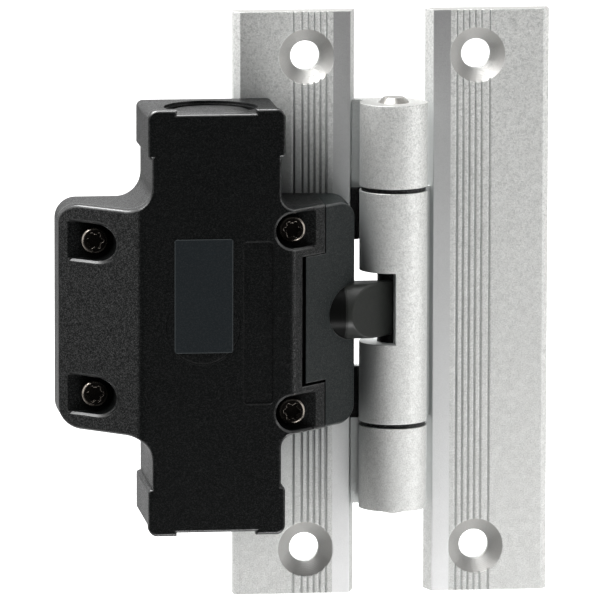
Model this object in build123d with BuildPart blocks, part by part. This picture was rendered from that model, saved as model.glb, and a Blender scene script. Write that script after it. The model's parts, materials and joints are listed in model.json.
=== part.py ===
from build123d import *
import os

# Safety hinge switch: a two-leaf aluminium hinge whose fixed leaf carries a
# moulded switch housing. A notch in the moving leaf's knuckle drives a plunger
# that slides out of the housing's sloping side, and the plunger opens contacts.
#
# X runs across the leaves, to the right as seen from the front. Y runs into the
# mounting surface, so the front is at negative Y and a depth d lies at Y = -d.
# Z runs up along the hinge pin. The origin is on the mounting plane, in the
# middle between the two bolt holes of the fixed leaf.

# Leaves, in millimetres
leaf_length = 130.0
leaf_reach = 35.0            # pin axis to a leaf's outer edge
plate_thickness = 4.5
edge_front = 9.3             # pin axis to the inner edge, on the front face
edge_back = 7.9              # the same on the back face, as the edge slants
outer_bevel = 1.35
hole_reach = 19.0            # pin axis to the bolt holes
hole_inset = 10.0            # leaf's end to a bolt hole's centre
hole_diameter = 6.6
countersink_diameter = 12.4
groove_width = 0.7
groove_depth = 0.35
groove_reach = 14.5          # pin axis to the first of the fine grooves
groove_pitch = 1.36
groove_count = 5
lone_groove_reach = 21.8

# Knuckles, pin and bushes
knuckle_radius = 7.5
web_thickness = 2.8          # of the strip that joins a plate to its knuckles
web_lap = 0.8                # by which that strip runs into the plate
stack_half = 45.1            # half the length of the three knuckles together
middle_half = 25.65          # half the length of the moving leaf's knuckle
slit = 1.0                   # between two knuckles, filled by a bush's flange
mill_clearance = 0.6         # between the middle knuckle and the cut beside it
window_half = 14.25          # half height of the fixed leaf's open window
pin_radius = 3.5
pin_dome = 1.15
dome_rim_radius = 2.3
running_gap = 0.05           # radial, between the pin and what turns on it
bush_wall = 0.9
bush_length = 9.0
flange_radius = 7.1
flange_gap = 0.1             # axial, between a flange and the fixed knuckle

# Notch in the middle knuckle
notch_half = 8.0
notch_flank = 0.4            # pin axis to the notch's flank, on the left

# Plunger: a bar with a half-round front, cut at 45 degrees at its nose
plunger_radius = 6.1
plunger_front = 21.35        # depth of its half-round front
plunger_back = 11.2          # depth of its flat back
tip_clearance = 0.2          # between the plunger's tip and the notch's flank
slide_gap = 0.1
tail_half = 4.6
tail_length = 4.4
nose_round = 0.5
cap_line = 11.8              # pin axis to the fine groove behind the plunger's nose
cap_line_width = 0.25
cap_line_depth = 0.15

# Housing outline, across from the pin axis and up from the middle
housing_back = plate_thickness
housing_front = 30.5
neck_left = 55.75
neck_right = 27.5
block_step = 0.9             # by which the end blocks stand proud of the neck
block_start = 36.3
end_top = 46.0
end_bottom = 45.5
end_corner = 1.4
step_corner = 0.8
ear_reach = 74.75
ear_half = 24.8
ear_corner = 4.6
neck_corner = 5.5
lug_corner = 3.0
shoulder_left = 58.3         # where the flat front turns into the ear's slope
shoulder_right = 24.9        # where it turns into the right-hand slope
shoulder_round = 2.5
rim_round = 0.7

# Cover
cover_thickness = 2.6
lip_tab = 1.1                # by which the upper lip's tabs stand past it
lip_tab_bottom = 0.75
lip_sink_top = 0.1
lip_overhang_bottom = 0.6
tab_corner = 2.0
tab_inner_left = 50.4
tab_inner_right = 33.05
field_left = 35.8
field_width = 6.5
field_half = 17.9
field_depth = 0.4
field_corner = 0.9
label_left = 50.95
label_width = 12.8
label_height = 25.05
label_centre_z = 6.15
label_thickness = 0.15
label_corner = 0.6
mark_radius = 8.2            # of the fine moulded circle, partly under the label
mark_left = 44.7             # pin axis to its centre
mark_z = -0.8
mark_width = 0.25
mark_depth = 0.12

# Screws and their wells
screw_radius = 1.9
head_radius = 2.95
head_height = 2.7
head_round = 0.8
recess_radius = 1.45
recess_lobe = 0.47
recess_depth = 1.5
lug_screw_x = 24.8
lug_screw_z = 20.1
lug_well_radius = 3.9
lug_well_sink = 5.6          # flat front to the floor of a lug screw's well
ear_screw_x = 67.15
ear_screw_z = 16.95
ear_well_radius = 4.1
ear_well_sink = 5.8          # slope over an ear screw to the floor of its well
well_rim = 0.5               # bevel round the wells' mouths
seat_wall = 2.0              # of plastic under and around a screw's well
ear_screw_end = 8.0
lug_screw_end = 0.8

# Housing inside
back_wall = 2.5
side_wall = 2.35
cavity_right = 31.6
membrane = 1.3
ear_pocket_left = 71.6       # hollow at the ear's back, between its screws
ear_pocket_right = 59.5
ear_pocket_half = 9.6
ear_pocket_rib = 1.6
ear_pocket_depth = 5.2
entry_radius = 10.3
entry_wall = 0.7             # length of an entry's wall, down to its ledge
entry_recess = 1.5
entry_ledge = 0.2
entry_disc_radius = 8.2      # of the disc that is knocked out
entry_disc_sink = 0.8
entry_depth = 17.5
gasket_width = 1.2
gasket_depth = 0.8
gasket_margin = 0.4          # from the cavity's edge to the gasket

# Actuator head, the separate side piece that guides the plunger
head_right = 9.6
head_left = 16.85
tongue_left = 21.8
tongue_half = 13.95
head_half = 24.65
head_corner = 4.0
joint_gap = 0.2              # between the head and the housing beside it
lower_gap = 0.65             # the same under the head's tongue
shadow_gap = 0.9             # between the head's tongue and the cover
head_gasket_thickness = 0.8
gasket_land = 5.0            # by which that gasket is wider than the plunger
seal_width = 1.5
seal_height = 1.4
seal_inset = 4.0             # tongue's left face to the seal
head_screw_x = 13.6
head_screw_z = 17.8
head_screw_end = 12.0
head_screw_radius = 1.6
head_screw_cone = 3.2

# Contact block
contact_x = 33.1             # pin axis to the fixed contacts' bearing face
contact_gap = 0.1
block_floor = 3.4
tower_inner = 10.6
clamp_size = 5.0
tower_left = 50.0
rear_wall = 1.0
bar_half = 9.8
bar_thickness = 0.8
bar_width = 3.0
bar_depths = (13.6, 18.9)
strip_thickness = 0.7
pad_inner = 7.2
terminal_x = (36.8, 45.6)
terminal_clearance = 2.0     # from a terminal screw's head to the cover
clamp_thickness = 0.8
terminal_head_radius = 2.4
terminal_head_height = 2.0
terminal_radius = 1.3
terminal_end = 14.0
slot_width = 0.7

# Return spring
spring_radius = 2.75
spring_wire = 0.45           # to the corners of its section
spring_wire_sides = 4
spring_turns = 7
spring_bore = 3.4
spring_bore_end = 16.0
spigot_radius = 2.1
spigot_length = 2.5
fit_gap = 0.1                # between inner pieces that drop into place

# Pin liner that shows in the notch, and dark strips beside the middle knuckle
liner_wall = 0.5
liner_half = 16.0
strip_rise = 1.4
strip_inset = 0.1

# Worked out from the sizes above
axis_x = hole_reach
axis_depth = knuckle_radius
hole_spacing = leaf_length - 2 * hole_inset
left_slope = shoulder_left + housing_front      # ear's front: depth = left_slope - reach
right_slope = housing_front - shoulder_right    # right side's front: depth = right_slope + reach
lug_floor = housing_front - lug_well_sink
ear_floor = left_slope - ear_screw_x - ear_well_sink
lug_well_end = lug_floor - right_slope          # reach at which a well's floor runs out on the slope
ear_well_end = left_slope - ear_floor
leaf_half = leaf_length / 2
tip_reach = notch_flank + tip_clearance
plunger_centre = plunger_front - plunger_radius
spring_depth = (plunger_front + plunger_back) / 2
cover_slope = cover_thickness * 2**0.5
parting = housing_front - cover_thickness
block_left = neck_left + block_step
block_right = neck_right - block_step
lip_top = end_top - lip_sink_top
lip_bottom = end_bottom + lip_overhang_bottom
tab_top = lip_top + lip_tab
tab_bottom = lip_bottom + lip_tab_bottom
cavity_left = neck_left - side_wall
cavity_back = housing_back + back_wall
cavity_top = end_top - entry_recess - membrane
cavity_bottom = end_bottom - entry_recess - membrane
entry_x = (neck_left + neck_right) / 2
housing_right = head_left + joint_gap
step_top = tongue_half + joint_gap
step_low = tongue_half + lower_gap
recess_right = tongue_left + head_gasket_thickness
contact_rear = cavity_left - fit_gap
spring_seat = contact_rear - rear_wall
bar_left = contact_x + contact_gap + bar_thickness
shoulder_x = contact_x - strip_thickness - contact_gap
tower_outer = tower_inner + clamp_size + 2 * fit_gap
terminal_z = (tower_inner + tower_outer) / 2
terminal_stack = strip_thickness + clamp_thickness + terminal_head_height
tower_top = parting - terminal_clearance - terminal_stack
beyond = 100.0               # longer than any piece, for cuts that go right through
overcut = 1.0                # by which a shorter cut runs past the faces it opens


def at(reach):
    """X of a point that lies this far to the left of the pin axis."""
    return axis_x - reach


terminal_places = [(at(x), z) for x in terminal_x for z in (terminal_z, -terminal_z)]


def front_plane(depth):
    """Plane parallel to the mounting plane, with its normal to the front."""
    return Plane.XZ.offset(depth)


def cross_plane(z=0.0):
    """Plane square to the pin, at height z."""
    return Plane.XY.offset(z)


def side_plane(reach):
    """Plane square to X, with its normal to the left and its local x axis up."""
    return Plane(origin=(at(reach), 0, 0), x_dir=(0, 0, 1), z_dir=(-1, 0, 0))


def span(left, right, low, high):
    """Adds a rectangle to the sketch in hand, between two reaches and two heights."""
    centre = ((at(left) + at(right)) / 2, (low + high) / 2)
    with Locations(centre):
        Rectangle(abs(left - right), high - low)


def section_line(points):
    """Adds a closed polygon, given as reach and depth, to a cross-plane sketch."""
    Polygon(*[(at(reach), -depth) for reach, depth in points], align=None)


def plate_profile(side):
    """Cross-section of a leaf's plate: side is 1 on the left, -1 on the right."""
    section_line([
        (side * edge_back, 0),
        (side * edge_front, plate_thickness),
        (side * (leaf_reach - outer_bevel), plate_thickness),
        (side * leaf_reach, plate_thickness - outer_bevel),
        (side * leaf_reach, 0),
    ])


def web_profile(side):
    """Cross-section of the strip between a plate and its knuckle."""
    section_line([
        (0, 0),
        (side * (edge_back + web_lap), 0),
        (side * (edge_back + web_lap), web_thickness),
        (0, web_thickness),
    ])


def cut_grooves(side):
    """Sinks the row of fine grooves and the lone one into a plate's front."""
    rows = [groove_reach + i * groove_pitch for i in range(groove_count)]
    with BuildSketch(cross_plane(-leaf_half)) as grooves:
        for reach in rows + [lone_groove_reach]:
            section_line([
                (side * (reach - groove_width / 2), plate_thickness),
                (side * (reach + groove_width / 2), plate_thickness),
                (side * reach, plate_thickness - groove_depth),
            ])
    extrude(grooves.sketch, amount=leaf_length, mode=Mode.SUBTRACT)


def cut_bolt_holes(side):
    """Countersinks the two bolt holes from the front."""
    with Locations(front_plane(plate_thickness)):
        with Locations((at(side * hole_reach), -hole_spacing / 2), (at(side * hole_reach), hole_spacing / 2)):
            CounterSinkHole(hole_diameter / 2, countersink_diameter / 2, counter_sink_angle=90)


def slope_plane(depth, side):
    """Plane of a 45 degree face that starts at a depth beside the pin axis.

    Its local x axis runs to the left along the face. Side is 1 for the right-hand
    slope and -1 for the ear's.
    """
    return Plane(origin=(at(0), -depth, 0), x_dir=(-1, -side, 0), z_dir=(side, -1, 0))


def bevel_round(face, place, along, across):
    """Bevels the round end of a well's mouth, an ellipse on the face it opens in."""
    lap = well_rim + fit_gap
    with BuildSketch(face) as wide:
        with Locations(place):
            Ellipse(along + well_rim, across + well_rim)
    with BuildSketch(face.offset(-lap)) as narrow:
        with Locations(place):
            Ellipse(along + well_rim - lap, across + well_rim - lap)
    loft([wide.sketch, narrow.sketch], ruled=True, mode=Mode.SUBTRACT)


def bevel_channel(face, start, stop, height, half_width):
    """Bevels the straight part of a well's mouth, from its round end to where it runs out."""
    lap = well_rim + fit_gap
    with BuildSketch(face) as wide:
        with Locations(((start + stop) / 2, height)):
            Rectangle(abs(start - stop), 2 * (half_width + well_rim))
    with BuildSketch(face.offset(-lap)) as narrow:
        with Locations(((start + stop) / 2, height)):
            Rectangle(abs(start - stop) - 2 * lap, 2 * (half_width + well_rim - lap))
    loft([wide.sketch, narrow.sketch], ruled=True, mode=Mode.SUBTRACT)


def plunger_profile(grow=0.0, mode=Mode.ADD):
    """Plunger's section on a side plane: half-round to the front, flat behind."""
    half = plunger_radius + grow
    back = plunger_back - grow
    with BuildLine() as profile:
        Line((-half, -plunger_centre), (-half, -back))
        Line((-half, -back), (half, -back))
        Line((half, -back), (half, -plunger_centre))
        ThreePointArc((half, -plunger_centre), (0, -plunger_centre - half), (-half, -plunger_centre))
    make_face(profile.edges(), mode=mode)


def corners_at(sketch, reach, heights):
    """Corners of a front-plane sketch in hand that lie at a reach and one of the heights."""
    return [
        v for v in sketch.vertices()
        if abs(v.X - at(reach)) < 0.01 and any(abs(v.Y - z) < 0.01 for z in heights)
    ]


def gasket_profile():
    """Rectangular ring around the cavity, on a front plane."""
    centre = (at((cavity_left + cavity_right) / 2), (cavity_top - cavity_bottom) / 2)
    width = cavity_left - cavity_right + 2 * gasket_margin
    height = cavity_top + cavity_bottom + 2 * gasket_margin
    with Locations(centre):
        Rectangle(width + 2 * gasket_width, height + 2 * gasket_width)
        Rectangle(width, height, mode=Mode.SUBTRACT)


# Fixed leaf: plate with two outer knuckles, milled clear of the middle one
with BuildPart() as fixed_leaf:
    with BuildSketch(cross_plane(-leaf_half)):
        plate_profile(1)
    extrude(amount=leaf_length)
    cut_grooves(1)
    with BuildSketch(cross_plane(-stack_half)):
        web_profile(1)
    extrude(amount=2 * stack_half)
    with BuildSketch(cross_plane(-middle_half - slit)):
        with Locations((axis_x, -axis_depth)):
            Circle(knuckle_radius + mill_clearance)
    extrude(amount=2 * (middle_half + slit), mode=Mode.SUBTRACT)
    with BuildSketch(cross_plane(-window_half)):
        section_line([
            (edge_back, 0),
            (edge_front, plate_thickness),
            (0, plate_thickness),
            (0, 0),
        ])
    extrude(amount=2 * window_half, mode=Mode.SUBTRACT)
    for z in (-stack_half, middle_half + slit):
        with BuildSketch(cross_plane(z)):
            with Locations((axis_x, -axis_depth)):
                Circle(knuckle_radius)
                Circle(pin_radius, mode=Mode.SUBTRACT)
        extrude(amount=stack_half - middle_half - slit)
    with BuildSketch(cross_plane(-stack_half)):
        with Locations((axis_x, -axis_depth)):
            Circle(pin_radius)
    extrude(amount=2 * stack_half, mode=Mode.SUBTRACT)
    cut_bolt_holes(1)
    with Locations(front_plane(0)):
        with Locations((at(lug_screw_x), -lug_screw_z), (at(lug_screw_x), lug_screw_z)):
            Hole(screw_radius)
    with Locations(Plane(origin=(0, 0, 0), x_dir=(1, 0, 0), z_dir=(0, 1, 0))):
        with Locations((at(head_screw_x), -head_screw_z), (at(head_screw_x), head_screw_z)):
            CounterSinkHole(head_screw_radius, head_screw_cone, counter_sink_angle=90)
fixed_leaf.part.label = "fixed_leaf"

# Moving leaf: plate with the middle knuckle, which has the driving notch
with BuildPart() as moving_leaf:
    with BuildSketch(cross_plane(-leaf_half)):
        plate_profile(-1)
    extrude(amount=leaf_length)
    cut_grooves(-1)
    with BuildSketch(cross_plane(-middle_half)):
        web_profile(-1)
        with Locations((axis_x, -axis_depth)):
            Circle(knuckle_radius)
    extrude(amount=2 * middle_half)
    with BuildSketch(cross_plane(-middle_half)):
        with Locations((axis_x, -axis_depth)):
            Circle(pin_radius + 2 * running_gap)
    extrude(amount=2 * middle_half, mode=Mode.SUBTRACT)
    for z in (-middle_half, middle_half - bush_length):
        with BuildSketch(cross_plane(z)):
            with Locations((axis_x, -axis_depth)):
                Circle(pin_radius + running_gap + bush_wall)
        extrude(amount=bush_length, mode=Mode.SUBTRACT)
    with BuildSketch(cross_plane(-notch_half)):
        section_line([
            (notch_flank, -overcut),
            (notch_flank, 2 * knuckle_radius + overcut),
            (knuckle_radius + overcut, 2 * knuckle_radius + overcut),
            (knuckle_radius + overcut, -overcut),
        ])
    extrude(amount=2 * notch_half, mode=Mode.SUBTRACT)
    cut_bolt_holes(-1)
moving_leaf.part.label = "moving_leaf"

# Hinge pin with domed ends
with BuildPart() as hinge_pin:
    with BuildSketch(cross_plane(-stack_half)):
        with Locations((axis_x, -axis_depth)):
            Circle(pin_radius)
    extrude(amount=2 * stack_half)
    for z, way in ((stack_half, 1), (-stack_half, -1)):
        with BuildSketch(Plane(origin=(axis_x, -axis_depth, z), z_dir=(0, 0, way))):
            Circle(pin_radius)
        with BuildSketch(Plane(origin=(axis_x, -axis_depth, z + way * pin_dome), z_dir=(0, 0, way))):
            Circle(dome_rim_radius)
        loft()
    with BuildSketch(cross_plane(-liner_half)):
        with Locations((axis_x, -axis_depth)):
            Circle(pin_radius + overcut)
            Circle(pin_radius - liner_wall, mode=Mode.SUBTRACT)
    extrude(amount=2 * liner_half, mode=Mode.SUBTRACT)
hinge_pin.part.label = "hinge_pin"

# Dark liner moulded round the pin's waist; it shows in the notch
with BuildPart() as pin_liner:
    with BuildSketch(cross_plane(-liner_half)):
        with Locations((axis_x, -axis_depth)):
            Circle(pin_radius)
            Circle(pin_radius - liner_wall, mode=Mode.SUBTRACT)
    extrude(amount=2 * liner_half)
pin_liner.part.label = "pin_liner"

# Dark strips on the fixed leaf's web, in the gap beside the middle knuckle
with BuildPart() as gap_strips:
    low_depth, high_depth = web_thickness, web_thickness + strip_rise
    swing = knuckle_radius + mill_clearance + strip_inset
    edge_slant = (edge_front - edge_back) / plate_thickness
    for z in (-middle_half, window_half):
        with BuildSketch(cross_plane(z)):
            section_line([
                ((swing**2 - (axis_depth - low_depth) ** 2) ** 0.5, low_depth),
                ((swing**2 - (axis_depth - high_depth) ** 2) ** 0.5, high_depth),
                (edge_back + edge_slant * high_depth - strip_inset, high_depth),
                (edge_back + edge_slant * low_depth - strip_inset, low_depth),
            ])
        extrude(amount=middle_half - window_half)
gap_strips.part.label = "gap_strips"


def bush(z, way):
    """Flanged plain bush: it fills a slit and reaches into the middle knuckle."""
    bore = pin_radius + running_gap
    with BuildPart() as flanged_bush:
        with BuildSketch(Plane(origin=(axis_x, -axis_depth, z), z_dir=(0, 0, way))):
            Circle(flange_radius)
            Circle(bore, mode=Mode.SUBTRACT)
        extrude(amount=slit - flange_gap)
        with BuildSketch(Plane(origin=(axis_x, -axis_depth, z), z_dir=(0, 0, -way))):
            Circle(bore + bush_wall)
            Circle(bore, mode=Mode.SUBTRACT)
        extrude(amount=bush_length)
    return flanged_bush.part


upper_bush = bush(middle_half, 1)
upper_bush.label = "upper_bush"
lower_bush = bush(-middle_half, -1)
lower_bush.label = "lower_bush"

# Outer form that the housing base and cover share, with its rounded front rim
with BuildPart() as envelope:
    with BuildSketch(front_plane(housing_back)) as outline:
        span(neck_left, neck_right, -end_bottom, end_top)
        span(block_left, block_right, block_start, end_top)
        span(block_left, block_right, -end_bottom, -block_start)
        span(ear_reach, entry_x, -ear_half, ear_half)
        span(entry_x, housing_right, -ear_half, ear_half)
        fillet(outline.vertices().group_by(Axis.X)[0], ear_corner)
        fillet(corners_at(outline, neck_left, (ear_half, -ear_half)), neck_corner)
        fillet(corners_at(outline, neck_right, (ear_half, -ear_half)), lug_corner)
        for reach in (block_left, block_right):
            fillet(corners_at(outline, reach, (end_top, -end_bottom)), end_corner)
            fillet(corners_at(outline, reach, (block_start, -block_start)), step_corner)
    extrude(amount=housing_front - housing_back)
    with BuildSketch(cross_plane(-beyond)):
        section_line([
            (left_slope, 0),
            (left_slope - housing_front, housing_front),
            (housing_front - right_slope, housing_front),
            (-right_slope, 0),
        ])
    extrude(amount=2 * beyond, mode=Mode.INTERSECT)
    shoulders = [
        edge
        for reach in (shoulder_left, shoulder_right)
        for edge in envelope.edges().filter_by(Axis.Z)
        if abs(edge.center().X - at(reach)) < 0.01 and edge.center().Y < -parting
    ]
    fillet(shoulders, shoulder_round)
    walls = envelope.faces().filter_by(lambda f: abs(f.normal_at().Y) < 0.01)
    wall_edges = [edge.center() for face in walls for edge in face.edges()]
    front_faces = envelope.faces().filter_by(lambda f: f.normal_at().Y < -0.5)
    rim = [
        edge
        for face in front_faces
        for edge in face.edges()
        if edge.center().X < at(housing_right) - joint_gap
        and any((edge.center() - centre).length < 0.001 for centre in wall_edges)
    ]
    fillet(rim, rim_round)

# What lies behind the parting surface, and so belongs to the base
with BuildPart() as base_region:
    with BuildSketch(cross_plane(-beyond)):
        section_line([
            (left_slope - cover_slope, 0),
            (left_slope - cover_slope - parting, parting),
            (parting - right_slope + cover_slope, parting),
            (cover_slope - right_slope, 0),
        ])
    extrude(amount=2 * beyond)
    with BuildSketch(front_plane(lug_floor - seat_wall)):
        for low, high in ((step_top + joint_gap, ear_half + overcut), (-ear_half - overcut, -step_low - joint_gap)):
            span(lug_screw_x + lug_well_radius + seat_wall / 2, housing_right - overcut, low, high)
    extrude(amount=housing_front, mode=Mode.SUBTRACT)
    with BuildSketch(front_plane(ear_floor - seat_wall)):
        with Locations((at(ear_screw_x), ear_screw_z), (at(ear_screw_x), -ear_screw_z)):
            Circle(ear_well_radius + 0.75 * seat_wall)
    extrude(amount=housing_front, mode=Mode.SUBTRACT)

# Housing base: a tray with two knock-out cable entries, one at each end
with BuildPart() as housing_base:
    add(envelope.part)
    add(base_region.part, mode=Mode.INTERSECT)
    with BuildSketch(front_plane(housing_back)):
        span(recess_right, 0, -step_low, step_top)
    extrude(amount=housing_front, mode=Mode.SUBTRACT)
    with BuildSketch(front_plane(cavity_back)):
        span(cavity_left, cavity_right, -cavity_bottom, cavity_top)
    extrude(amount=housing_front, mode=Mode.SUBTRACT)
    with BuildSketch(front_plane(parting - gasket_depth)):
        gasket_profile()
    extrude(amount=housing_front, mode=Mode.SUBTRACT)
    for z, way in ((end_top, 1), (-end_bottom, -1)):
        with BuildSketch(Plane(origin=(at(entry_x), -entry_depth, z), z_dir=(0, 0, way))):
            Circle(entry_radius)
        extrude(amount=-entry_wall, mode=Mode.SUBTRACT)
        with BuildSketch(Plane(origin=(at(entry_x), -entry_depth, z), z_dir=(0, 0, way))):
            Circle(entry_radius - entry_ledge)
            Circle(entry_disc_radius, mode=Mode.SUBTRACT)
        extrude(amount=-entry_recess, mode=Mode.SUBTRACT)
        with BuildSketch(Plane(origin=(at(entry_x), -entry_depth, z), z_dir=(0, 0, way))):
            Circle(entry_disc_radius + entry_ledge)
        extrude(amount=-entry_disc_sink, mode=Mode.SUBTRACT)
    with BuildSketch(side_plane(0)):
        plunger_profile(3 * slide_gap)
    extrude(amount=entry_x, mode=Mode.SUBTRACT)
    with BuildSketch(front_plane(housing_back)):
        with Locations((at(lug_screw_x), lug_screw_z), (at(lug_screw_x), -lug_screw_z)):
            Circle(screw_radius)
    extrude(amount=housing_front, mode=Mode.SUBTRACT)
    with BuildSketch(front_plane(ear_screw_end)):
        with Locations((at(ear_screw_x), ear_screw_z), (at(ear_screw_x), -ear_screw_z)):
            Circle(screw_radius)
    extrude(amount=housing_front, mode=Mode.SUBTRACT)
    with BuildSketch(front_plane(housing_back)):
        for low, high in ((ear_pocket_rib / 2, ear_pocket_half), (-ear_pocket_half, -ear_pocket_rib / 2)):
            span(ear_pocket_left, ear_pocket_right, low, high)
    extrude(amount=ear_pocket_depth, mode=Mode.SUBTRACT)
housing_base.part.label = "housing_base"

# Lips at the cover's ends, each with a tab at both of its corners
with BuildPart() as cover_lips:
    with BuildSketch(front_plane(parting)) as lips:
        span(block_left, block_right, block_start + block_step, lip_top)
        span(block_left, block_right, -lip_bottom, -block_start - block_step)
        for low, high in ((end_top - tab_corner, tab_top), (-tab_bottom, tab_corner - end_bottom)):
            span(block_left, tab_inner_left, low, high)
            span(tab_inner_right, block_right, low, high)
        for reach in (block_left, block_right):
            fillet(corners_at(lips, reach, (tab_top, -tab_bottom)), tab_corner)
    extrude(amount=cover_thickness)
    lip_fronts = cover_lips.faces().filter_by(lambda f: f.normal_at().Y < -0.5)
    lip_edges = [e for face in lip_fronts for e in face.edges()]
    fillet([e for e in lip_edges if abs(e.center().Z) > block_start + block_step + overcut / 2], rim_round)

# Housing cover: the whole front skin, with its lips and the screws' wells
with BuildPart() as housing_cover:
    add(envelope.part)
    add(cover_lips.part)
    add(base_region.part, mode=Mode.SUBTRACT)
    with BuildSketch(front_plane(0)):
        span(tongue_left + shadow_gap, 0, -step_low, step_top)
    extrude(amount=beyond, mode=Mode.SUBTRACT)
    with BuildSketch(front_plane(lug_floor)):
        for z in (-lug_screw_z, lug_screw_z):
            with Locations((at(lug_screw_x), z)):
                Circle(lug_well_radius)
            span(lug_screw_x, 0, z - lug_well_radius, z + lug_well_radius)
    extrude(amount=housing_front, mode=Mode.SUBTRACT)
    with BuildSketch(front_plane(ear_floor)):
        for z in (-ear_screw_z, ear_screw_z):
            with Locations((at(ear_screw_x), z)):
                Circle(ear_well_radius)
            span(ear_reach + overcut, ear_screw_x, z - ear_well_radius, z + ear_well_radius)
    extrude(amount=housing_front, mode=Mode.SUBTRACT)
    right_face = slope_plane(right_slope, 1)
    ear_face = slope_plane(left_slope, -1)
    run = 2**0.5
    for z in (-lug_screw_z, lug_screw_z):
        bevel_round(front_plane(housing_front), (at(lug_screw_x), z), lug_well_radius, lug_well_radius)
        bevel_channel(right_face, lug_screw_x * run, lug_well_end * run + well_rim, z, lug_well_radius)
    for z in (-ear_screw_z, ear_screw_z):
        bevel_round(ear_face, (ear_screw_x * run, z), ear_well_radius * run, ear_well_radius)
        bevel_channel(ear_face, ear_screw_x * run, ear_well_end * run - well_rim, z, ear_well_radius)
    with BuildSketch(front_plane(0)):
        with Locations((at(lug_screw_x), lug_screw_z), (at(lug_screw_x), -lug_screw_z)):
            Circle(screw_radius)
        with Locations((at(ear_screw_x), ear_screw_z), (at(ear_screw_x), -ear_screw_z)):
            Circle(screw_radius)
    extrude(amount=beyond, mode=Mode.SUBTRACT)
    with BuildSketch(front_plane(housing_front)):
        with Locations((at(field_left - field_width / 2), 0)):
            RectangleRounded(field_width, 2 * field_half, field_corner)
    extrude(amount=-field_depth, mode=Mode.SUBTRACT)
    with BuildSketch(front_plane(housing_front)):
        with Locations((at(mark_left), mark_z)):
            Circle(mark_radius)
            Circle(mark_radius - mark_width, mode=Mode.SUBTRACT)
    extrude(amount=-mark_depth, mode=Mode.SUBTRACT)
housing_cover.part.label = "housing_cover"

# Gasket that lies in the base's groove, under the cover
with BuildPart() as cover_gasket:
    with BuildSketch(front_plane(parting - gasket_depth)):
        gasket_profile()
    extrude(amount=gasket_depth)
cover_gasket.part.label = "cover_gasket"

# Actuator head: side piece with the plunger's bore and a tongue into the housing
with BuildPart() as actuator_head:
    with BuildSketch(front_plane(housing_back)) as head_outline:
        span(head_left, head_right, -head_half, head_half)
        fillet(head_outline.vertices().group_by(Axis.X)[-1], head_corner)
        span(tongue_left, head_left, -tongue_half, tongue_half)
    extrude(amount=housing_front - housing_back)
    with BuildSketch(cross_plane(-beyond)):
        section_line([
            (beyond, 0),
            (beyond, right_slope + beyond),
            (-right_slope, 0),
        ])
    extrude(amount=2 * beyond, mode=Mode.INTERSECT)
    slope_face = actuator_head.faces().filter_by(lambda f: f.normal_at().Y < -0.5)
    fillet([e for e in slope_face[0].edges() if e.center().X > at(head_left) + joint_gap / 2], rim_round)
    with BuildSketch(side_plane(0)):
        plunger_profile(slide_gap)
    extrude(amount=entry_x, mode=Mode.SUBTRACT)
    with BuildSketch(side_plane(tongue_left - seal_inset)):
        plunger_profile(seal_height)
    extrude(amount=seal_width, mode=Mode.SUBTRACT)
    with BuildSketch(front_plane(housing_back)):
        with Locations((at(head_screw_x), head_screw_z), (at(head_screw_x), -head_screw_z)):
            Circle(head_screw_radius)
    extrude(amount=head_screw_end - housing_back, mode=Mode.SUBTRACT)
actuator_head.part.label = "actuator_head"

# Flat gasket between the head's tongue and the housing base
with BuildPart() as head_gasket:
    with BuildSketch(side_plane(tongue_left)):
        with Locations((0, -(plunger_front + plunger_back) / 2)):
            Rectangle(2 * plunger_radius + gasket_land, plunger_front - plunger_back + gasket_land)
        plunger_profile(3 * slide_gap, mode=Mode.SUBTRACT)
    extrude(amount=head_gasket_thickness)
head_gasket.part.label = "head_gasket"

# Lip seal around the plunger, in the head's groove
with BuildPart() as plunger_seal:
    with BuildSketch(side_plane(tongue_left - seal_inset)):
        plunger_profile(seal_height)
        plunger_profile(running_gap, mode=Mode.SUBTRACT)
    extrude(amount=seal_width)
plunger_seal.part.label = "plunger_seal"

# Plunger with its slanted nose, its narrower tail and the spring's bore
with BuildPart() as plunger:
    with BuildSketch(side_plane(tip_reach)):
        plunger_profile()
    extrude(amount=shoulder_x - tip_reach)
    with BuildSketch(side_plane(shoulder_x)):
        with Locations((0, -(plunger_front + plunger_back) / 2)):
            Rectangle(2 * tail_half, plunger_front - plunger_back)
    extrude(amount=tail_length)
    with BuildSketch(cross_plane(-beyond)):
        section_line([
            (tip_reach, plunger_back),
            (tip_reach + beyond, plunger_back + beyond),
            (tip_reach - beyond, plunger_back + beyond),
            (tip_reach - beyond, plunger_back),
        ])
    extrude(amount=2 * beyond, mode=Mode.SUBTRACT)
    nose = plunger.faces().filter_by(lambda f: f.normal_at().Y < -0.5 and f.normal_at().X > 0.5)
    fillet(nose[0].edges().filter_by(GeomType.ELLIPSE), nose_round)
    with BuildSketch(side_plane(spring_bore_end)):
        with Locations((0, -spring_depth)):
            Circle(spring_bore)
    extrude(amount=beyond, mode=Mode.SUBTRACT)
    for depth in bar_depths:
        with BuildSketch(side_plane(bar_left)):
            with Locations((0, -depth)):
                Rectangle(2 * beyond, bar_width)
        extrude(amount=-bar_thickness, mode=Mode.SUBTRACT)
    with BuildSketch(side_plane(cap_line)):
        plunger_profile(overcut)
        plunger_profile(-cap_line_depth, mode=Mode.SUBTRACT)
    extrude(amount=cap_line_width, mode=Mode.SUBTRACT)
plunger.part.label = "plunger"

# Two bridging bars, one behind the other, split around the spring's bore
with BuildPart() as contact_bars:
    for depth in bar_depths:
        with BuildSketch(side_plane(bar_left)):
            with Locations((0, -depth)):
                Rectangle(2 * bar_half, bar_width)
        extrude(amount=-bar_thickness)
    with BuildSketch(side_plane(0)):
        with Locations((0, -spring_depth)):
            Circle(spring_bore)
    extrude(amount=beyond, mode=Mode.SUBTRACT)
contact_bars.part.label = "contact_bars"

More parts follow.
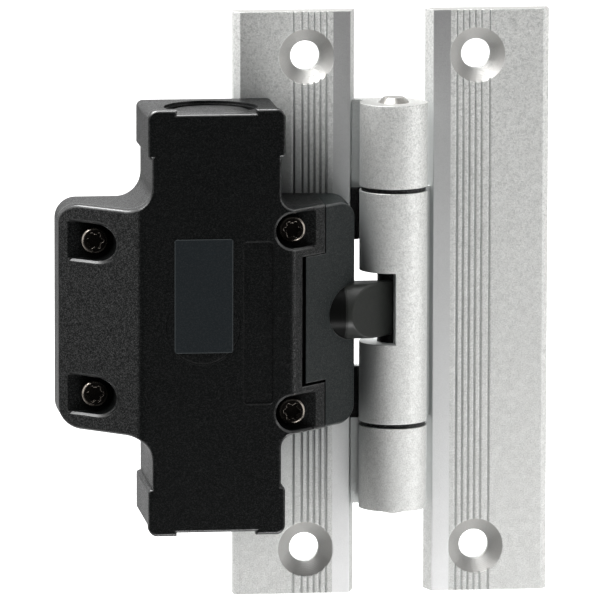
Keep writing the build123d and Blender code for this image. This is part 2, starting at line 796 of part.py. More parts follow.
# Return spring, from the bore's end to the contact block's rear wall
with BuildPart() as return_spring:
    spring_length = spring_seat - spring_bore_end - 2 * spring_wire - 2 * running_gap
    spring_start = spring_bore_end + spring_wire + running_gap
    with BuildLine():
        coil = Helix(
            pitch=spring_length / spring_turns,
            height=spring_length,
            radius=spring_radius,
            center=(at(spring_start), -spring_depth, 0),
            direction=(-1, 0, 0),
        )
    with BuildSketch(Plane(origin=coil @ 0, z_dir=coil % 0)):
        RegularPolygon(spring_wire, spring_wire_sides)
    sweep(is_frenet=True)
return_spring.part.label = "return_spring"

# Contact block: floor, two towers for the terminals and the spring's rear wall
with BuildPart() as contact_block:
    with BuildSketch(front_plane(cavity_back + fit_gap)):
        span(contact_rear, contact_x, -tower_outer, tower_outer)
    extrude(amount=block_floor)
    with BuildSketch(front_plane(cavity_back + fit_gap)):
        for low, high in ((tower_inner, tower_outer), (-tower_outer, -tower_inner)):
            span(tower_left, contact_x, low, high)
        span(contact_rear, spring_seat, -tower_inner, tower_inner)
    extrude(amount=tower_top - cavity_back - fit_gap)
    with BuildSketch(side_plane(spring_seat)):
        with Locations((0, -spring_depth)):
            Circle(spigot_radius)
    extrude(amount=-spigot_length)
    with BuildSketch(front_plane(terminal_end)):
        with Locations(*terminal_places):
            Circle(terminal_radius)
    extrude(amount=housing_front, mode=Mode.SUBTRACT)
contact_block.part.label = "contact_block"

# Fixed contacts: two short strips for the outer bar, two long for the inner one
with BuildPart() as fixed_contacts:
    inner_depth, outer_depth = bar_depths
    strip_top = tower_top + strip_thickness
    with BuildSketch(front_plane(outer_depth - bar_width / 2)):
        for way in (-1, 1):
            low, high = sorted((way * pad_inner, way * (terminal_z + clamp_size / 2)))
            span(contact_x, contact_x - strip_thickness, low, high)
    extrude(amount=strip_top - outer_depth + bar_width / 2)
    with BuildSketch(front_plane(tower_top)):
        for way in (-1, 1):
            z = way * terminal_z
            span(terminal_x[0] + clamp_size / 2, contact_x, z - clamp_size / 2, z + clamp_size / 2)
    extrude(amount=strip_thickness)
    with BuildSketch(front_plane(inner_depth - bar_width / 2)):
        for way in (-1, 1):
            low, high = sorted((way * pad_inner, way * (tower_outer + strip_thickness)))
            span(contact_x, contact_x - strip_thickness, low, high)
    extrude(amount=bar_width)
    with BuildSketch(front_plane(inner_depth - bar_width / 2)):
        for way in (-1, 1):
            low, high = sorted((way * tower_outer, way * (tower_outer + strip_thickness)))
            span(terminal_x[1] + clamp_size / 2, contact_x - strip_thickness, low, high)
    extrude(amount=bar_width)
    with BuildSketch(front_plane(inner_depth - bar_width / 2)):
        for way in (-1, 1):
            low, high = sorted((way * tower_outer, way * (tower_outer + strip_thickness)))
            span(terminal_x[1] + clamp_size / 2, terminal_x[1] - clamp_size / 2, low, high)
    extrude(amount=strip_top - inner_depth + bar_width / 2)
    with BuildSketch(front_plane(tower_top)):
        for way in (-1, 1):
            low, high = sorted((way * (terminal_z - clamp_size / 2), way * (tower_outer + strip_thickness)))
            span(terminal_x[1] + clamp_size / 2, terminal_x[1] - clamp_size / 2, low, high)
    extrude(amount=strip_thickness)
    with BuildSketch(front_plane(tower_top)):
        with Locations(*terminal_places):
            Circle(terminal_radius)
    extrude(amount=strip_thickness, mode=Mode.SUBTRACT)
fixed_contacts.part.label = "fixed_contacts"

# Clamping plates under the terminal screws
with BuildPart() as terminal_clamps:
    with BuildSketch(front_plane(tower_top + strip_thickness)):
        with Locations(*terminal_places):
            Rectangle(clamp_size, clamp_size)
            Circle(terminal_radius, mode=Mode.SUBTRACT)
    extrude(amount=clamp_thickness)
terminal_clamps.part.label = "terminal_clamps"

# Slotted terminal screws
with BuildPart() as terminal_screws:
    seat = tower_top + strip_thickness + clamp_thickness
    with BuildSketch(front_plane(terminal_end)):
        with Locations(*terminal_places):
            Circle(terminal_radius)
    extrude(amount=seat - terminal_end)
    with BuildSketch(front_plane(seat)):
        with Locations(*terminal_places):
            Circle(terminal_head_radius)
    extrude(amount=terminal_head_height)
    with BuildSketch(front_plane(seat + terminal_head_height)):
        with Locations(*terminal_places):
            Rectangle(2 * terminal_head_radius + overcut, slot_width)
    extrude(amount=-terminal_head_height / 2, mode=Mode.SUBTRACT)
terminal_screws.part.label = "terminal_screws"


def pan_screws(reach, height, floor, end):
    """Pair of pan-head screws with lobed recesses, seated on a well's floor."""
    places = [(at(reach), height), (at(reach), -height)]
    with BuildPart() as screws:
        with BuildSketch(front_plane(end)):
            with Locations(*places):
                Circle(screw_radius)
        extrude(amount=floor - end)
        with BuildSketch(front_plane(floor)):
            with Locations(*places):
                Circle(head_radius)
        extrude(amount=head_height)
        tops = screws.faces().filter_by(Axis.Y).group_by(Axis.Y)[0]
        fillet(tops.edges(), head_round)
        with BuildSketch(front_plane(floor + head_height)):
            for place in places:
                with Locations(place):
                    Circle(recess_radius)
                    with PolarLocations(recess_radius, 6):
                        Circle(recess_lobe)
        extrude(amount=-recess_depth, mode=Mode.SUBTRACT)
    return screws.part


lug_screws = pan_screws(lug_screw_x, lug_screw_z, lug_floor, lug_screw_end)
lug_screws.label = "lug_screws"
ear_screws = pan_screws(ear_screw_x, ear_screw_z, ear_floor, ear_screw_end)
ear_screws.label = "ear_screws"

# Countersunk screws that hold the head, put in from behind the fixed leaf
with BuildPart() as head_screws:
    for z in (head_screw_z, -head_screw_z):
        with BuildSketch(Plane(origin=(at(head_screw_x), 0, z), z_dir=(0, -1, 0))):
            Circle(head_screw_radius)
        extrude(amount=head_screw_end)
        with BuildSketch(Plane(origin=(at(head_screw_x), 0, z), z_dir=(0, -1, 0))):
            Circle(head_screw_cone)
        extrude(amount=head_screw_cone - head_screw_radius, taper=45)
        with BuildSketch(Plane(origin=(at(head_screw_x), 0, z), z_dir=(0, -1, 0))):
            Circle(recess_radius)
        extrude(amount=recess_depth, mode=Mode.SUBTRACT)
head_screws.part.label = "head_screws"

# Bare label film on the cover
with BuildPart() as label_film:
    with BuildSketch(front_plane(housing_front)):
        centre_x = at(label_left - label_width / 2)
        with Locations((centre_x, label_centre_z)):
            RectangleRounded(label_width, label_height, label_corner)
    extrude(amount=label_thickness)
label_film.part.label = "label_film"

pieces = [
    fixed_leaf.part,
    moving_leaf.part,
    hinge_pin.part,
    pin_liner.part,
    gap_strips.part,
    upper_bush,
    lower_bush,
    housing_base.part,
    housing_cover.part,
    cover_gasket.part,
    actuator_head.part,
    head_gasket.part,
    plunger_seal.part,
    plunger.part,
    contact_bars.part,
    return_spring.part,
    contact_block.part,
    fixed_contacts.part,
    terminal_clamps.part,
    terminal_screws.part,
    lug_screws,
    ear_screws,
    head_screws.part,
    label_film.part,
]
os.makedirs("parts", exist_ok=True)
for piece in pieces:
    export_step(piece, f"parts/{piece.label}.step")
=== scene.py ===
"""Safety hinge switch: finishes, a round-wire spring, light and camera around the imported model."""
import json
import math

import bpy
import numpy as np
from mathutils import Matrix, Vector


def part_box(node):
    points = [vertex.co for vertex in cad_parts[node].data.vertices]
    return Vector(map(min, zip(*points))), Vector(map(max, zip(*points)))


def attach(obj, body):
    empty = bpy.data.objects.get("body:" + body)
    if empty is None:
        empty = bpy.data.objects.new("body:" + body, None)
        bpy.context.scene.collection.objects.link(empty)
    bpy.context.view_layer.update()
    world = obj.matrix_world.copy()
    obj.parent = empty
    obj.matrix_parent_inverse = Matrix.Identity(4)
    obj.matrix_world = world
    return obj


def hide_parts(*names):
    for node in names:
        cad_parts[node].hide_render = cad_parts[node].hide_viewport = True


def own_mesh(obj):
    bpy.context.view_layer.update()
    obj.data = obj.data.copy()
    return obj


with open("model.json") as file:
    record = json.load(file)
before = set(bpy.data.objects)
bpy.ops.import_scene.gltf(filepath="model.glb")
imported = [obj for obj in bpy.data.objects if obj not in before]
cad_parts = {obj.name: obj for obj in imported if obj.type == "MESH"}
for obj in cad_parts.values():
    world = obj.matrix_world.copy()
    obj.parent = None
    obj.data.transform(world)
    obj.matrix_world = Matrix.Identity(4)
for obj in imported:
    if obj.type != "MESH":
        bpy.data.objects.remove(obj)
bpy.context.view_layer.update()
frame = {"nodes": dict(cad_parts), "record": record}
nodes = frame["nodes"]

MM = 0.001

# Millimetres. Holes and strips are given from the pin's axis, to the left and the right alike
PIN_X, LEAF_HALF_HEIGHT = 19.0, 65.0
HOLE_REACH, HOLE_HEIGHT, COUNTERSINK_RADIUS, CUTTER_PITCH = 19.0, 55.0, 6.1, 0.32
STRIP_INNER, STRIP_OUTER = 8.85, 13.05
# In Y, the turned finish stops short of the leaves' backs, and the drawn one stays on their fronts
TURNED_DEPTH, DRAWN_DEPTH = -0.6, -4.2
# The width over which one finish turns into the next
SOFT = 0.1

# Where the photograph was taken from, found from the leaves' corners and holes
YAW, PITCH, ROLL = (math.radians(angle) for angle in (7.51, 8.85, 0.21))
FOCAL_PX, FRAME_PX = 8909.0, 600.0
PIN_PX = (388.61, 299.49)
DISTANCE = 1973.9 * MM

# The last three colours are painted shade: end faces, tight places and grooves
LEAF_COLOURS = {
    "hollow": (0.58, 0.58, 0.565),
    "top": (0.93, 0.935, 0.92),
    "fleck": (0.42, 0.43, 0.42),
    "smudge": (0.66, 0.66, 0.65),
    "turned": (0.46, 0.45, 0.435),
    "end": (0.3, 0.3, 0.29),
    "occlusion_shade": (0.58, 0.595, 0.59),
    "groove": (0.1, 0.105, 0.105),
}
BORE_SHADE_BLACK = (0.001, 0.001, 0.001)
FILM_EDGE = (0.034, 0.039, 0.041)
FLOOR_GREY = (0.34, 0.34, 0.34)
WHITE = (1.0, 1.0, 1.0)

BASE_GLOSS, COAT_IOR = 0.45, 1.8


class Tree:
    """Short hand for building a node tree: new nodes, links and plain values."""

    def __init__(self, tree):
        self.tree = tree

    def new(self, kind, inputs=None, **settings):
        node = self.tree.nodes.new(kind)
        for name, value in settings.items():
            setattr(node, name, value)
        for key, value in (inputs or {}).items():
            self.put(node.inputs[key], value)
        return node

    def put(self, socket, value):
        if isinstance(value, bpy.types.NodeSocket):
            self.tree.links.new(value, socket)
        elif socket.type == "RGBA" and len(value) == 3:
            socket.default_value = (*value, 1.0)
        else:
            socket.default_value = value

    def math(self, operation, *values, clamp=False):
        inputs = dict(enumerate(values))
        return self.new("ShaderNodeMath", inputs, operation=operation, use_clamp=clamp).outputs[0]

    def plus(self, first, second):
        return self.math("ADD", first, second)

    def minus(self, first, second):
        return self.math("SUBTRACT", first, second)

    def times(self, first, second):
        return self.math("MULTIPLY", first, second)

    def absolute(self, value):
        return self.math("ABSOLUTE", value)

    def ramp(self, value, low, high, bottom=0.0, top=1.0):
        inputs = {"Value": value, "From Min": low, "From Max": high, "To Min": bottom, "To Max": top}
        return self.new("ShaderNodeMapRange", inputs).outputs["Result"]

    def above(self, value, edge, soft):
        """1 where the value is above the edge and 0 below it, blended over the width soft."""
        return self.ramp(value, edge - soft / 2, edge + soft / 2)

    def below(self, value, edge, soft):
        """1 where the value is below the edge and 0 above it, blended over the width soft."""
        return self.ramp(value, edge - soft / 2, edge + soft / 2, 1.0, 0.0)

    def mix(self, amount, first, second):
        node = self.new("ShaderNodeMix", data_type="RGBA")
        self.put(node.inputs["Factor"], amount)
        self.put(node.inputs[6], first)
        self.put(node.inputs[7], second)
        return node.outputs[2]

    def axes(self, vector):
        return self.new("ShaderNodeSeparateXYZ", {"Vector": vector}).outputs

    def place(self):
        """Where a point of the surface lies in the object's own metres."""
        return self.new("ShaderNodeTexCoord").outputs["Object"]

    def openness(self, distance):
        """1 where nothing stands near and 0 in a tight place, seen as far as this distance."""
        return self.new("ShaderNodeAmbientOcclusion", {"Distance": distance}, samples=6).outputs["AO"]

    def rounded(self, radius):
        """Normal that looks as if every edge had this radius, in millimetres."""
        return self.new("ShaderNodeBevel", {"Radius": radius * MM}, samples=6).outputs[0]

    def noise(self, place, scale, detail=2.0, roughness=0.5):
        inputs = {"Vector": place, "Scale": scale, "Detail": detail, "Roughness": roughness}
        return self.new("ShaderNodeTexNoise", inputs).outputs["Fac"]

    def bump(self, height, distance, strength, normal):
        inputs = {"Height": height, "Distance": distance, "Strength": strength, "Normal": normal}
        return self.new("ShaderNodeBump", inputs).outputs["Normal"]


def group(name, inputs, outputs):
    """Starts a node group; the values are (name, kind, default) for inputs and (name, kind) for outputs."""
    made = bpy.data.node_groups.new(name, "ShaderNodeTree")
    for label, kind, default in inputs:
        socket = made.interface.new_socket(label, in_out="INPUT", socket_type="NodeSocket" + kind)
        socket.default_value = default
    for label, kind in outputs:
        made.interface.new_socket(label, in_out="OUTPUT", socket_type="NodeSocket" + kind)
    tree = Tree(made)
    return made, tree, tree.new("NodeGroupInput").outputs, tree.new("NodeGroupOutput").inputs


def grain_group():
    """Fine moulded or blasted grain: two sizes of noise, as a height and as a light and dark mask."""
    made, tree, given, result = group(
        "fine_grain",
        [("Vector", "Vector", (0, 0, 0)), ("Size mm", "Float", 0.25), ("Coarse share", "Float", 0.35)],
        [("Height", "Float"), ("Mask", "Float")],
    )
    scale = tree.math("DIVIDE", 1000.0, given["Size mm"])
    small = tree.noise(given["Vector"], scale, 3.0, 0.6)
    large = tree.noise(given["Vector"], tree.times(scale, 0.22))
    share = given["Coarse share"]
    both = tree.plus(tree.times(large, share), tree.times(small, tree.minus(1.0, share)))
    tree.put(result["Height"], both)
    tree.put(result["Mask"], tree.ramp(both, 0.3, 0.7))
    return made


def wear_group():
    """Traces of handling: broad smudges that dull the gloss, and a few fine slanted scratches."""
    made, tree, given, result = group(
        "handling_marks",
        [("Vector", "Vector", (0, 0, 0)), ("Size mm", "Float", 6.0)],
        [("Smudge", "Float"), ("Scratch", "Float")],
    )
    scale = tree.math("DIVIDE", 1000.0, given["Size mm"])
    broad = tree.noise(given["Vector"], scale, 4.0, 0.6)
    tree.put(result["Smudge"], tree.ramp(broad, 0.35, 0.7))
    slant, stretch = (0.2, 0.5, 0.9), (30.0, 900.0, 900.0)
    inputs = {"Vector": given["Vector"], "Rotation": slant, "Scale": stretch}
    lines = tree.noise(tree.new("ShaderNodeMapping", inputs).outputs[0], 3.0)
    tree.put(result["Scratch"], tree.ramp(lines, 0.66, 0.72))
    return made


def edge_group():
    """Rubbed upper and lower edges: 1 where the rounded normal leans between front and top or bottom."""
    made, tree, given, result = group("rubbed_edges", [("Normal", "Vector", (0, 0, 1))], [("Mask", "Float")])
    parts = tree.axes(given["Normal"])
    facing = tree.absolute(parts["Y"])
    lean = tree.absolute(parts["Z"])
    band = tree.times(tree.ramp(lean, 0.2, 0.45), tree.ramp(lean, 0.98, 0.9))
    tree.put(result["Mask"], tree.times(band, tree.ramp(facing, 0.15, 0.35)))
    return made


def speck_group():
    """Tiny light specks between dark ones: single cells of a Voronoi pattern, picked at random."""
    made, tree, given, result = group(
        "bright_specks",
        [("Vector", "Vector", (0, 0, 0)), ("Size mm", "Float", 0.3)],
        [("Mask", "Float")],
    )
    scale = tree.math("DIVIDE", 1000.0, given["Size mm"])
    cells = tree.new("ShaderNodeTexVoronoi", {"Vector": given["Vector"], "Scale": scale}).outputs
    pick = tree.new("ShaderNodeSeparateColor", {"Color": cells["Color"]}).outputs["Red"]
    tree.put(result["Mask"], tree.math("POWER", pick, 2.5))
    return made


GRAIN = grain_group()
MARKS = wear_group()
EDGES = edge_group()
SPECKS = speck_group()


def placed(tree, made, **values):
    """Puts a node group into a material, with values given by input name (underscore for space)."""
    node = tree.new("ShaderNodeGroup")
    node.node_tree = made
    for name, value in values.items():
        tree.put(node.inputs[name.replace("_", " ")], value)
    return node.outputs


def material(name, **sockets):
    """A new material with a Principled shader; returns it with its tree and its shader's inputs."""
    made = bpy.data.materials.new(name)
    made.use_nodes = True
    made.node_tree.nodes.clear()
    tree = Tree(made.node_tree)
    shader = tree.new("ShaderNodeBsdfPrincipled", {key.replace("_", " "): v for key, v in sockets.items()})
    tree.new("ShaderNodeOutputMaterial", {"Surface": shader.outputs[0]})
    return made, tree, shader.inputs


def blasted_aluminium():
    """Bead-blasted, clear anodised aluminium with a fine speckle; the countersinks are turned.

    How far a point lies from its bolt hole is the length of (|X - pin| - reach, |Z| - height),
    the same for all four holes, and rings of that length are the cutter's marks. The strip beside
    the knuckles is drawn smooth, with painted shade that runs from light at its bottom to dark at its top.
    Painted shade also darkens the end faces, tight places and most of all the grooves.
    """
    made, tree, shader = material("leaf_aluminium", Metallic=1.0)
    place = tree.place()
    at = tree.axes(place)
    grain = placed(tree, GRAIN, Vector=place, Size_mm=0.3, Coarse_share=0.25)
    marks = placed(tree, MARKS, Vector=place, Size_mm=9.0)
    smooth = tree.rounded(0.3)
    near = tree.openness(16 * MM)

    reach = tree.absolute(tree.minus(at["X"], PIN_X * MM))
    across = tree.minus(reach, HOLE_REACH * MM)
    along = tree.minus(tree.absolute(at["Z"]), HOLE_HEIGHT * MM)
    away = tree.math("SQRT", tree.plus(tree.times(across, across), tree.times(along, along)))
    turned = tree.times(tree.below(away, COUNTERSINK_RADIUS * MM, SOFT * MM),
                        tree.below(at["Y"], TURNED_DEPTH * MM, 2 * SOFT * MM))
    rings = tree.math("SINE", tree.times(away, 2 * math.pi / (CUTTER_PITCH * MM)))
    drawn = tree.times(tree.above(reach, STRIP_INNER * MM, SOFT * MM),
                       tree.below(reach, STRIP_OUTER * MM, SOFT * MM))
    drawn = tree.times(drawn, tree.below(at["Y"], DRAWN_DEPTH * MM, 2 * SOFT * MM))
    # painted shade: the drawn strip is light at the bottom and dark at the top
    level = tree.ramp(at["Z"], -LEAF_HALF_HEIGHT * MM, LEAF_HALF_HEIGHT * MM, 0.93, 0.36)
    level = tree.plus(level, tree.times(grain["Mask"], 0.04))
    drawn_shaded_grey = tree.new("ShaderNodeCombineXYZ", {"X": level, "Y": level, "Z": level}).outputs[0]
    flecks = tree.times(tree.ramp(tree.noise(place, 1700.0, 4.0, 0.65), 0.48, 0.66),
                        tree.ramp(at["Z"], -40 * MM, 50 * MM, 0.1, 1.0))
    # painted shade: faces that point up or down, the ends of leaves and knuckles, are coloured darker
    ends = tree.ramp(tree.absolute(tree.axes(smooth)["Z"]), 0.8, 0.95)
    # painted shade: tight places outside the drawn strip, the grooves, turn near black, less so towards the
    # bottom
    grooves = tree.times(tree.ramp(near, 0.62, 0.2),
                         tree.above(reach, (STRIP_OUTER + SOFT) * MM, SOFT * MM))
    grooves = tree.times(grooves, tree.ramp(at["Z"], -55 * MM, -20 * MM, 0.1, 1.0))

    colour = tree.mix(grain["Mask"], LEAF_COLOURS["hollow"], LEAF_COLOURS["top"])
    colour = tree.mix(tree.times(flecks, 0.6), colour, LEAF_COLOURS["fleck"])
    colour = tree.mix(tree.times(marks["Smudge"], 0.15), colour, LEAF_COLOURS["smudge"])
    colour = tree.mix(turned, colour, LEAF_COLOURS["turned"])
    colour = tree.mix(drawn, colour, drawn_shaded_grey)
    colour = tree.mix(ends, colour, LEAF_COLOURS["end"])
    # painted shade: where little of the sky is open within 16 mm, the colour turns a darker grey
    colour = tree.mix(tree.ramp(near, 0.3, 0.9), LEAF_COLOURS["occlusion_shade"], colour)
    tree.put(shader["Base Color"], tree.mix(grooves, colour, LEAF_COLOURS["groove"]))

    blasted = tree.ramp(grain["Mask"], 0, 1, 0.68, 0.56)
    tree.put(shader["Roughness"], tree.minus(blasted, tree.times(turned, 0.03)))
    relief = tree.plus(tree.times(grain["Height"], tree.minus(1.0, turned)),
                       tree.times(tree.times(rings, turned), 0.12))
    tree.put(shader["Normal"], tree.bump(relief, 0.12 * MM, 0.6, smooth))
    return made


def moulded(name, dark, light, roughness, size=0.35, bump=0.04, radius=0.25, gloss=0.5, coarse=0.4,
            rim=0.5, speck=1.0, hollow=5.0, lit_from=None):
    """Moulded plastic with a fine grain: dark and light are the colours of its hollows and tops.

    Light specks and the rubbed upper and lower edges shine in the coat. Tight places, looked for as
    far as hollow millimetres, reflect next to nothing, and so does what lies left of lit_from in X,
    which is also painted black as shade.
    """
    made, tree, shader = material(name, Specular_IOR_Level=BASE_GLOSS * gloss, Coat_IOR=COAT_IOR,
                                  Coat_Roughness=roughness - 0.02)
    place = tree.place()
    grain = placed(tree, GRAIN, Vector=place, Size_mm=size, Coarse_share=coarse)
    marks = placed(tree, MARKS, Vector=place, Size_mm=12.0)
    specks = placed(tree, SPECKS, Vector=place, Size_mm=0.6 * size)
    smooth = tree.rounded(radius)
    edge = placed(tree, EDGES, Normal=smooth)["Mask"]
    upward = tree.ramp(tree.axes(smooth)["Z"], 0.6, 0.9)
    lit = tree.math("MAXIMUM", tree.ramp(tree.openness(hollow * MM), 0.2, 0.65, 0.08, 1.0), upward)

    colour = tree.mix(grain["Mask"], dark, light)
    colour = tree.mix(tree.times(marks["Scratch"], 0.15), colour, tuple(3 * c for c in light))
    # painted shade: left of lit_from in X the colour turns black and the coat almost goes
    if lit_from is not None:
        unshaded = tree.ramp(tree.axes(place)["X"], (lit_from - SOFT) * MM, (lit_from + SOFT) * MM, 0.12, 1.0)
        lit = tree.times(lit, unshaded)
        colour = tree.mix(unshaded, BORE_SHADE_BLACK, colour)
    tree.put(shader["Base Color"], colour)

    rough = tree.ramp(grain["Mask"], 0, 1, roughness + 0.06, roughness - 0.06)
    rough = tree.plus(rough, tree.times(marks["Smudge"], 0.05))
    tree.put(shader["Roughness"], tree.minus(rough, tree.times(edge, roughness - 0.3)))
    dull, bright = (0.55 - 0.5 * speck) * gloss, (0.55 + 2.6 * speck) * gloss
    coat = tree.plus(tree.ramp(specks["Mask"], 0, 1, dull, bright), tree.times(edge, rim))
    tree.put(shader["Coat Weight"], tree.math("MULTIPLY", coat, lit, clamp=True))
    tree.put(shader["Normal"], tree.bump(grain["Height"], bump * MM, 0.6, smooth))
    return made


def plain_metal(name, colour, roughness, radius=0.12, edge_highlight=None):
    """Turned, drawn or plated metal with faint fine lines; glint, if given, is a painted highlight colour on
    its edges.
    """
    made, tree, shader = material(name, Metallic=1.0)
    grain = placed(tree, GRAIN, Vector=tree.place(), Size_mm=0.15, Coarse_share=0.5)
    shown = tree.mix(grain["Mask"], tuple(0.8 * c for c in colour), colour)
    smooth = tree.rounded(radius)
    if edge_highlight is not None:
        # painted highlight: edges whose normal leans part way from facing front take the lighter colour
        leaning = tree.absolute(tree.axes(smooth)["Y"])
        band = tree.times(tree.ramp(leaning, 0.3, 0.5), tree.ramp(leaning, 0.97, 0.9))
        shown = tree.mix(band, shown, edge_highlight)
    tree.put(shader["Base Color"], shown)
    tree.put(shader["Roughness"], tree.ramp(grain["Mask"], 0, 1, roughness + 0.08, roughness - 0.05))
    tree.put(shader["Normal"], tree.bump(grain["Height"], 0.01 * MM, 0.5, smooth))
    return made


def film(name, dark, light):
    """Thin smooth film; its own edge shows as a thin lighter line all round it."""
    made = moulded(name, dark, light, 0.36, size=0.3, bump=0.01, radius=0.05, gloss=0.3, speck=0.3)
    box_low, box_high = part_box("label_film")
    tree = Tree(made.node_tree)
    shader = made.node_tree.nodes["Principled BSDF"].inputs
    at = tree.axes(tree.place())
    inside = []
    for axis, index in (("X", 0), ("Z", 2)):
        middle, half = (box_low[index] + box_high[index]) / 2, (box_high[index] - box_low[index]) / 2
        inside.append(tree.minus(half, tree.absolute(tree.minus(at[axis], middle))))
    line = tree.below(tree.math("MINIMUM", *inside), 0.17 * MM, SOFT * MM)
    before = shader["Base Color"].links[0].from_socket
    tree.put(shader["Base Color"], tree.mix(line, before, FILM_EDGE))
    return made


FINISHES = {
    "leaf_aluminium": blasted_aluminium(),
    "pin_steel": plain_metal("pin_steel", (0.36, 0.35, 0.33), 0.3),
    "housing_plastic": moulded("housing_plastic", (0.0006, 0.0008, 0.0008), (0.004, 0.0046, 0.0046), 0.34,
                               size=0.3, bump=0.2, radius=0.5, gloss=0.17, coarse=0.1, rim=0.9, speck=1.05),
    "head_plastic": moulded("head_plastic", (0.003, 0.0055, 0.0055), (0.006, 0.0088, 0.0088), 0.36,
                            size=0.3, bump=0.1, radius=0.35, gloss=0.2, coarse=0.1, rim=0.7, speck=0.4),
    "plunger_plastic": moulded("plunger_plastic", (0.019, 0.0203, 0.0187), (0.025, 0.0265, 0.0245), 0.34,
                               size=0.3, bump=0.04, radius=0.4, gloss=0.1, rim=0.25, speck=0.1,
                               hollow=0.8, lit_from=6.9),
    "bush_plastic": moulded("bush_plastic", (0.002, 0.002, 0.002), (0.006, 0.006, 0.006), 0.5, gloss=0.25),
    "seal_rubber": moulded("seal_rubber", (0.001, 0.001, 0.001), (0.004, 0.004, 0.004), 0.65, gloss=0.15),
    "block_plastic": moulded("block_plastic", (0.3, 0.3, 0.28), (0.42, 0.42, 0.4), 0.45),
    "contact_brass": plain_metal("contact_brass", (0.85, 0.62, 0.28), 0.3),
    "spring_steel": plain_metal("spring_steel", (0.6, 0.6, 0.62), 0.25),
    "clamp_steel": plain_metal("clamp_steel", (0.7, 0.7, 0.66), 0.35),
    "screw_steel": plain_metal("screw_steel", (0.035, 0.03, 0.027), 0.24, radius=0.2,
                               edge_highlight=(0.24, 0.215, 0.19)),
    "label_film": film("label_film", (0.0065, 0.009, 0.0105), (0.0085, 0.0115, 0.0135)),
}


def dress_nodes():
    """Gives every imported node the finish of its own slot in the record."""
    for part in frame["record"]["subparts"]:
        shown = nodes[part["node"]]
        shown.data.materials.clear()
        shown.data.materials.append(FINISHES[part["material_slot"]])


dress_nodes()


def round_spring():
    """Return spring of round wire with closed ends.

    With t from 0 to 1 along the wire, (Y, Z) = centre + coil (cos, sin)(2 pi turns t), and X grows
    by a pitch that is smaller in the first and last turn. Round that line runs a ring of wire radius.
    """
    low, high = (np.array(corner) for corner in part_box("return_spring"))
    centre = (low + high) / 2
    wire = 0.4 * MM
    coil = (high[2] - low[2]) / 2 - wire
    turns, steps, sides = 9, 360, 10
    t = np.linspace(0, 1, steps + 1)
    closed, opened = 1 / turns, 1.7 / turns
    pitch = np.interp(t, [0, closed, opened, 1 - opened, 1 - closed, 1], [0.3, 0.3, 1.0, 1.0, 0.3, 0.3])
    along = np.concatenate([[0], np.cumsum((pitch[1:] + pitch[:-1]) / 2)])
    turn = 2 * math.pi * turns * t
    line = np.stack([low[0] + wire + (high[0] - low[0] - 2 * wire) * along / along[-1],
                     centre[1] + coil * np.cos(turn), centre[2] + coil * np.sin(turn)], axis=1)
    outward = np.stack([0 * t, np.cos(turn), np.sin(turn)], axis=1)
    tangent = np.gradient(line, axis=0)
    tangent /= np.linalg.norm(tangent, axis=1, keepdims=True)
    sideways = np.cross(tangent, outward)
    angle = 2 * math.pi * np.arange(sides) / sides
    rings = line[:, None] + wire * (np.cos(angle)[None, :, None] * outward[:, None]
                                    + np.sin(angle)[None, :, None] * sideways[:, None])

    here = sides * np.arange(steps)[:, None]
    side = np.arange(sides)[None, :]
    after = (side + 1) % sides
    walls = np.stack([here + side, here + sides + side, here + sides + after, here + after], axis=2)
    first_cap = list(range(sides))
    last_cap = [steps * sides + corner for corner in reversed(first_cap)]
    faces = walls.reshape(-1, 4).tolist() + [first_cap, last_cap]
    mesh = bpy.data.meshes.new("spring_coil")
    mesh.from_pydata(rings.reshape(-1, 3).tolist(), [], faces)
    mesh.polygons.foreach_set("use_smooth", [True] * len(faces))
    mesh.materials.append(FINISHES["spring_steel"])
    piece = bpy.data.objects.new("spring_coil", mesh)
    bpy.context.scene.collection.objects.link(piece)
    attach(piece, "fixed")
    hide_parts("return_spring")
    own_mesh(piece)


round_spring()


def aim_camera():
    """Puts the camera where the photograph was taken from, with its middle on the middle of the frame."""
    right = Vector((math.cos(YAW), -math.sin(YAW), 0.0))
    ahead = Vector((math.sin(YAW) * math.cos(PITCH), math.cos(YAW) * math.cos(PITCH), -math.sin(PITCH)))
    up = right.cross(ahead)
    across = math.cos(ROLL) * right + math.sin(ROLL) * up
    upward = math.cos(ROLL) * up - math.sin(ROLL) * right
    middle = FRAME_PX / 2
    sight = ahead + across * ((middle - PIN_PX[0]) / FOCAL_PX) - upward * ((middle - PIN_PX[1]) / FOCAL_PX)
    sight.normalize()
    across = (across - sight * across.dot(sight)).normalized()
    upward = across.cross(sight)
    lens = bpy.data.cameras.new("photo_camera")
    lens.sensor_width = 36.0
    lens.lens = lens.sensor_width * FOCAL_PX / FRAME_PX
    lens.clip_start, lens.clip_end = 0.1, 20.0
    camera = bpy.data.objects.new("photo_camera", lens)
    turned = Matrix((across, upward, -sight)).transposed().to_4x4()
    camera.matrix_world = Matrix.Translation(Vector((PIN_X * MM, 0, 0)) - ahead * DISTANCE) @ turned
    bpy.context.scene.collection.objects.link(camera)
    bpy.context.scene.camera = camera


def softbox(name, place, target, size, power):
    """Rectangular area lamp that looks at a point; its size is in metres and its power in watts."""
    lamp = bpy.data.lights.new(name, "AREA")
    lamp.shape = "RECTANGLE"
    lamp.size, lamp.size_y = size
    lamp.energy = power
    holder = bpy.data.objects.new(name, lamp)
    holder.location = place
    holder.rotation_mode = "QUATERNION"
    holder.rotation_quaternion = (Vector(target) - Vector(place)).to_track_quat("-Z", "Y")
    bpy.context.scene.collection.objects.link(holder)


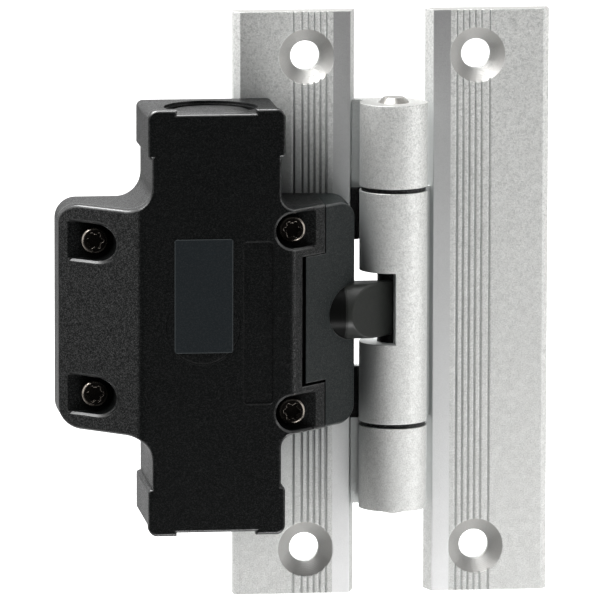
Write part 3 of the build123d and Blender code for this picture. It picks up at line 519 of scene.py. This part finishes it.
def light_studio():
    """Four lamps in a room that is white to the camera, and an even grey to what it lights.

    Gloss mirrors it white behind the part and dark in front.
    """
    world = bpy.data.worlds.new("studio")
    bpy.context.scene.world = world
    world.use_nodes = True
    world.node_tree.nodes.clear()
    tree = Tree(world.node_tree)
    way = tree.axes(tree.new("ShaderNodeTexCoord").outputs["Generated"])
    behind = tree.ramp(way["Y"], -0.5, 0.3, 0.06, 1.0)
    rays = tree.new("ShaderNodeLightPath").outputs
    gloss = tree.math("MAXIMUM", rays["Is Glossy Ray"], rays["Is Transmission Ray"])
    level = tree.plus(tree.times(gloss, behind), tree.times(tree.minus(1.0, gloss), 0.4))
    level = tree.math("MAXIMUM", level, rays["Is Camera Ray"])
    shade = tree.new("ShaderNodeBackground", {"Color": WHITE, "Strength": level})
    tree.new("ShaderNodeOutputWorld", {"Surface": shade.outputs[0]})
    middle = (0.0, 0.0, 0.0)
    softbox("left_softbox", (-0.95, -0.2, 0.3), middle, (0.7, 1.0), 3.2)
    softbox("right_softbox", (0.95, -0.4, 0.0), middle, (0.7, 1.0), 4.5)
    softbox("top_lamp", (-0.3, 0.08, 0.87), middle, (1.3, 0.7), 30.0)
    softbox("low_lamp", (0.14, -0.42, -0.5), (0.03, 0.0, -0.03), (0.5, 0.25), 3.2)


def lay_floor():
    """Floor well below the part: white to the camera, and grey to what it lights or mirrors it."""
    half, front, height = 3.0, -0.03, -0.105
    mesh = bpy.data.meshes.new("floor")
    corners = [(-half, front, height), (half, front, height), (half, half, height), (-half, half, height)]
    mesh.from_pydata(corners, [], [(0, 1, 2, 3)])
    made, tree, shader = material("floor_paper", Roughness=0.9, Specular_IOR_Level=0.0)
    tree.put(shader["Base Color"], FLOOR_GREY)
    tree.put(shader["Emission Color"], WHITE)
    tree.put(shader["Emission Strength"], tree.new("ShaderNodeLightPath").outputs["Is Camera Ray"])
    mesh.materials.append(made)
    floor = bpy.data.objects.new("floor", mesh)
    bpy.context.scene.collection.objects.link(floor)


aim_camera()
light_studio()
lay_floor()
bpy.context.scene.view_settings.view_transform = "Standard"
